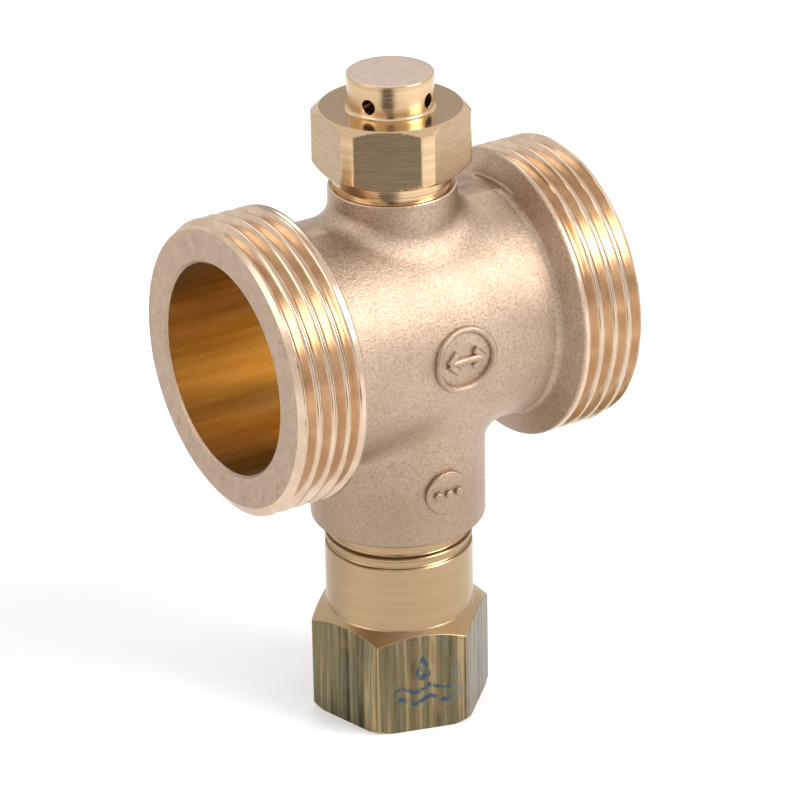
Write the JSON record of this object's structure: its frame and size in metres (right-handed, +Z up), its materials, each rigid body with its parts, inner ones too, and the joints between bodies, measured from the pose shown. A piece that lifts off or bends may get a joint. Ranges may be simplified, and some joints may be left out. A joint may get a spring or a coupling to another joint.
{
  "type": "antifreeze valve",
  "caption": "Brass antifreeze drain valve for a pipe run: two male ports, a vacuum breaker on the top neck and a thermostatic drain cartridge with a hexagon below.",
  "frame": {"origin": "middle of the foot, on the underside of the drain hexagon", "axes": "+Z up through the drain cartridge and the vacuum breaker, +X along the pipe run towards port_b"},
  "size_m": [0.0564, 0.0418, 0.0966],
  "materials": {
    "cast_brass": "sand-blasted satin casting",
    "turned_brass": "fine turned, semi-gloss",
    "bar_brass": "drawn bar with turned sleeve",
    "steel": "bright spring wire",
    "rubber": "matte",
    "plastic": "moulded, matte",
    "copper": "drawn copper, satin",
    "wax": "waxy"
  },
  "bodies": {
    "valve": {"valve_body": "cast_brass", "vent_cap": "turned_brass", "vent_cap_o_ring": "rubber", "air_spring": "steel", "vent_guide": "plastic", "vent_guide_clip": "steel", "drain_housing": "bar_brass", "drain_housing_o_ring": "rubber", "thermostat_cage": "turned_brass", "cage_cap": "turned_brass", "cage_retaining_ring": "steel", "overtravel_spring": "steel", "return_spring": "steel"},
    "air_poppet": {"air_poppet": "turned_brass", "air_poppet_seal": "rubber"},
    "drain_poppet": {"drain_poppet": "turned_brass", "drain_seal": "rubber", "thermostat_piston": "steel"},
    "thermostat": {"thermostat_bulb": "copper", "thermostat_guide": "turned_brass", "wax_charge": "wax", "thermostat_boot": "rubber"}
  },
  "joints": [
    {"name": "air_poppet_slide", "type": "slide", "parent": "valve", "child": "air_poppet", "axis": [0, 0, -1], "range_m": [0, 0.0025], "stiffness_N_per_m": 100, "springref_m": -0.004, "deforming": ["air_spring"]},
    {"name": "drain_poppet_slide", "type": "slide", "parent": "valve", "child": "drain_poppet", "axis": [0, 0, 1], "range_m": [0, 0.003], "deforming": ["return_spring"]},
    {"name": "thermostat_slide", "type": "slide", "parent": "valve", "child": "thermostat", "axis": [0, 0, 1], "range_m": [0, 0.002], "stiffness_N_per_m": 2000, "springref_m": -0.005, "deforming": ["overtravel_spring"]}
  ]
}
